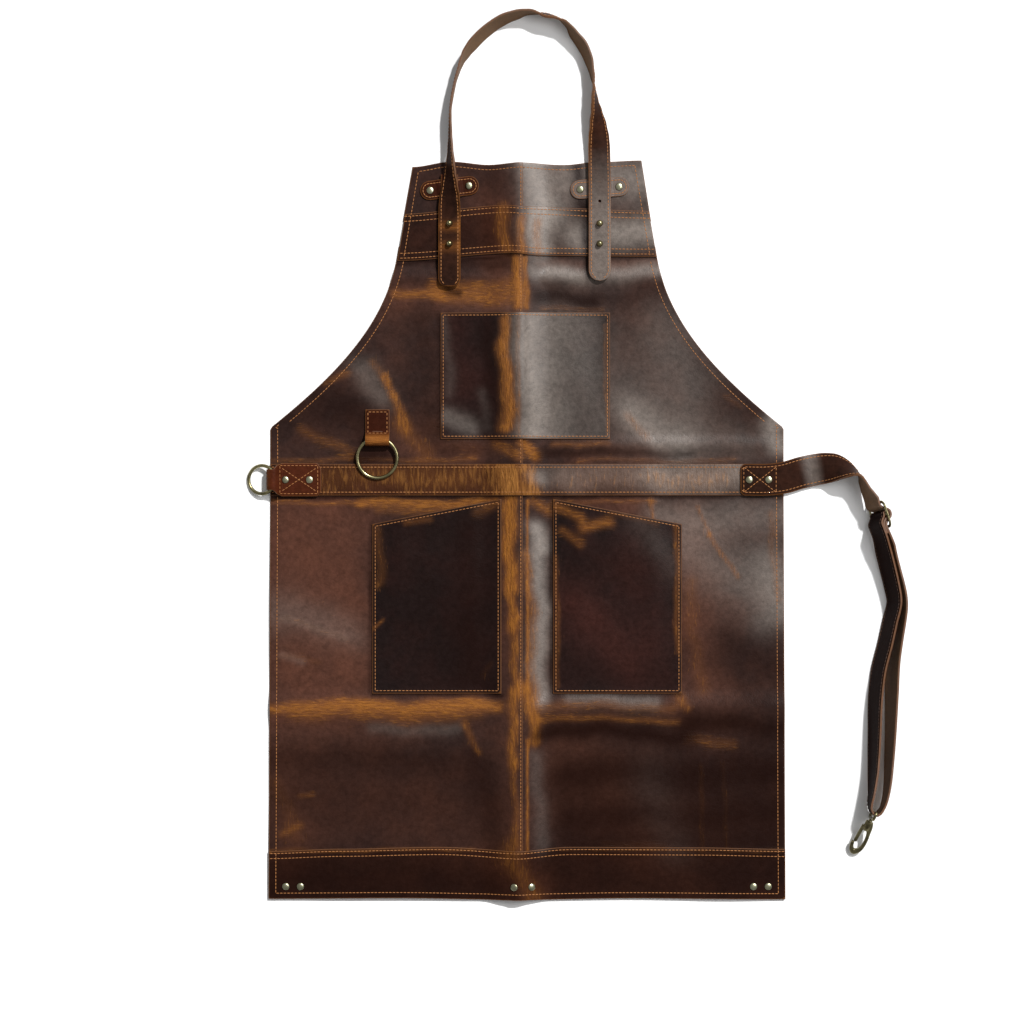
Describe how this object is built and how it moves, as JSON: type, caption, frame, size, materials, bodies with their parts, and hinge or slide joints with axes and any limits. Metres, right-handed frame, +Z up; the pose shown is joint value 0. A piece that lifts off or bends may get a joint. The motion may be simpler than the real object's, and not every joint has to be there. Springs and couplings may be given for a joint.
{
  "type": "leather work apron",
  "caption": "Full-length leather work apron with a bib, neck strap, chest pocket, slanted skirt pockets, belt with hanging rings, and an adjustable waist strap with slider and snap hook.",
  "frame": {"origin": "middle of the lying apron's overall box in plan, on the surface that it lies on", "axes": "+Z up out of the apron's front, +Y from the hem to the bib and neck strap, +X to the side with the waist strap"},
  "size_m": [0.7616, 1.0282, 0.0443],
  "materials": {
    "panel_leather": "waxed pull-up leather, dark brown with golden creases",
    "band_leather": "waxed pull-up leather, dark brown",
    "pocket_leather": "waxed pull-up leather, nearly black brown",
    "tab_leather": "waxed pull-up leather, warm brown",
    "strap_leather": "stitched strap leather, grain outside and flesh side inside",
    "brass": "antiqued, softly polished",
    "dark_brass": "dark antiqued"
  },
  "bodies": {
    "apron": {"skirt_left": "panel_leather", "skirt_right": "panel_leather", "chest_left": "panel_leather", "chest_right": "panel_leather", "top_band_left": "panel_leather", "top_band_right": "panel_leather", "bib_band": "band_leather", "hem_band": "band_leather", "waist_belt": "band_leather", "chest_pocket": "pocket_leather", "pocket_left": "pocket_leather", "pocket_right": "pocket_leather", "keeper_tab_left": "tab_leather", "keeper_tab_right": "tab_leather", "neck_hanger_left": "tab_leather", "neck_hanger_right": "tab_leather", "ring_tab": "tab_leather", "side_tab": "tab_leather", "neck_strap": "strap_leather", "waist_strap": "strap_leather", "neck_stud_left_1": "brass", "neck_stud_left_2": "brass", "neck_stud_right_1": "brass", "neck_stud_right_2": "brass", "keeper_rivet_left_1": "brass", "keeper_rivet_left_2": "brass", "keeper_rivet_right_1": "brass", "keeper_rivet_right_2": "brass", "side_tab_rivet_1": "brass", "side_tab_rivet_2": "brass", "waist_strap_rivet_1": "brass", "waist_strap_rivet_2": "brass", "hem_rivet_1": "brass", "hem_rivet_2": "brass", "hem_rivet_3": "brass", "hem_rivet_4": "brass", "hem_rivet_5": "brass", "hem_rivet_6": "brass", "strap_slider": "brass", "hook_eye": "dark_brass"},
    "tool_ring": {"tool_ring": "brass"},
    "side_ring": {"side_ring": "brass"},
    "hook": {"hook_body": "dark_brass"},
    "gate": {"hook_gate": "brass"}
  },
  "joints": [
    {"name": "tool_ring_swing", "type": "hinge", "parent": "apron", "child": "tool_ring", "pos_m": [-0.22992, 0.01715, 0.00879], "axis": [-1, 0, 0], "range_deg": [0, 170]},
    {"name": "side_ring_swing", "type": "hinge", "parent": "apron", "child": "side_ring", "pos_m": [-0.35092, -0.0281, 0.01136], "axis": [0, 1, 0], "range_deg": [0, 100]},
    {"name": "hook_swivel", "type": "hinge", "parent": "apron", "child": "hook", "pos_m": [0.33786, -0.42204, 0.02215], "axis": [-0.402, -0.8242, -0.399], "continuous": true},
    {"name": "gate_hinge", "type": "hinge", "parent": "hook", "child": "gate", "pos_m": [0.3306, -0.42695, 0.01885], "axis": [-0.1749, -0.3586, 0.917], "range_deg": [0, 15], "stiffness_Nm_per_rad": 0.02, "springref_deg": -11.46}
  ]
}
